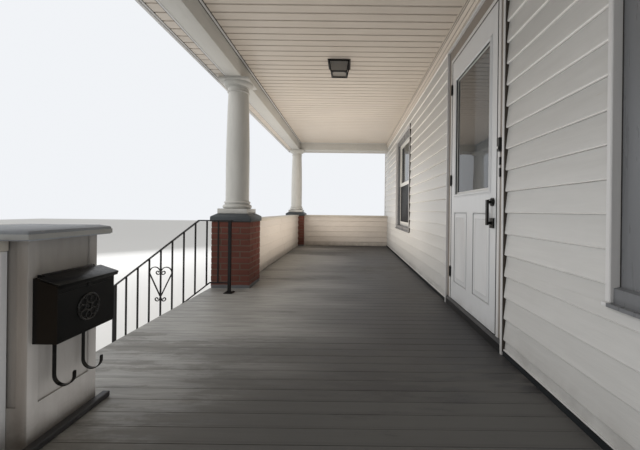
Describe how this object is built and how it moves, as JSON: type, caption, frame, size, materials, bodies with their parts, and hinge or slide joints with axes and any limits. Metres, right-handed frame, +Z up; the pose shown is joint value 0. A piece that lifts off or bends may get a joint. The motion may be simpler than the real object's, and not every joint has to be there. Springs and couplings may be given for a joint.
{
  "type": "front porch",
  "caption": "House front porch with brick piers, turned columns, low clad walls, board floor, steps with iron railing, hipped roof, entry door and windows.",
  "frame": {"origin": "middle of the underside of the middle brick pier, on the ground and on the column line", "axes": "+X along the house, from the far end to the near end; +Y from the columns into the house; +Z up"},
  "size_m": [8.46, 3.3204, 3.8444],
  "materials": {
    "masonry": "rough parged blockwork",
    "brick": "wire-cut red brick with dark joints",
    "cap_paint": "worn slate green paint",
    "clad_panel": "painted panel",
    "column_paint": "painted, turned",
    "low_wall_siding": "lapped siding with wood grain",
    "wall_siding": "lapped siding with wood grain",
    "trim_paint": "satin paint",
    "floor_paint": "worn porch paint",
    "ceiling_vinyl": "grooved panels",
    "gutter_metal": "baked enamel",
    "shingle": "mineral granules",
    "door_paint": "satin paint",
    "threshold_metal": "dark worn metal",
    "window_glass": "clear",
    "sash_vinyl": "satin",
    "black_metal": "satin black",
    "black_plastic": "satin black",
    "lantern_glass": "frosted",
    "stair_paint": "porch paint",
    "wrought_iron": "painted black"
  },
  "bodies": {
    "porch": {"house_foundation": "masonry", "foundation_walls": "masonry", "floor_frame": "trim_paint", "floor_boards": "floor_paint", "brick_pier_far": "brick", "brick_pier_middle": "brick", "brick_pier_near": "brick", "pier_caps": "cap_paint", "newel_pier": "clad_panel", "newel_pier_cap": "cap_paint", "column_far": "column_paint", "column_middle": "column_paint", "column_near": "column_paint", "low_wall_front_far": "low_wall_siding", "low_wall_front_near": "low_wall_siding", "low_wall_end_far": "low_wall_siding", "low_wall_end_near": "low_wall_siding", "low_wall_caps": "trim_paint", "beam_front": "trim_paint", "beam_end_far": "trim_paint", "beam_end_near": "trim_paint", "ceiling": "ceiling_vinyl", "eave_soffit": "ceiling_vinyl", "fascia": "trim_paint", "gutter": "gutter_metal", "roof": "shingle", "wall_far": "wall_siding", "wall_near": "wall_siding", "wall_over_door": "wall_siding", "frieze_moulding": "trim_paint", "door_frame": "trim_paint", "door_threshold": "threshold_metal", "window_casings": "trim_paint", "window_sashes": "sash_vinyl", "window_panes": "window_glass", "doorbell": "black_plastic", "ceiling_light": "black_metal", "ceiling_light_glass": "lantern_glass", "stair_carriage": "stair_paint", "stair_treads": "floor_paint", "stair_railing": "wrought_iron", "mailbox_body": "black_metal", "newspaper_hooks": "wrought_iron"},
    "entry_door": {"door_leaf": "door_paint", "door_lite_frame": "door_paint", "door_glass": "window_glass", "door_handle": "black_metal", "door_hinges": "black_metal"},
    "mailbox_cover": {"mailbox_lid": "black_metal"}
  },
  "joints": [
    {"name": "door_hinge", "type": "hinge", "parent": "porch", "child": "entry_door", "pos_m": [0.6875, 2.0166, 1.801], "axis": [0, 0, -1], "range_deg": [0, 100]},
    {"name": "mailbox_lid_hinge", "type": "hinge", "parent": "porch", "child": "mailbox_cover", "pos_m": [2.22, 0.163, 1.31431], "axis": [1, 0, 0], "range_deg": [0, 100]}
  ]
}
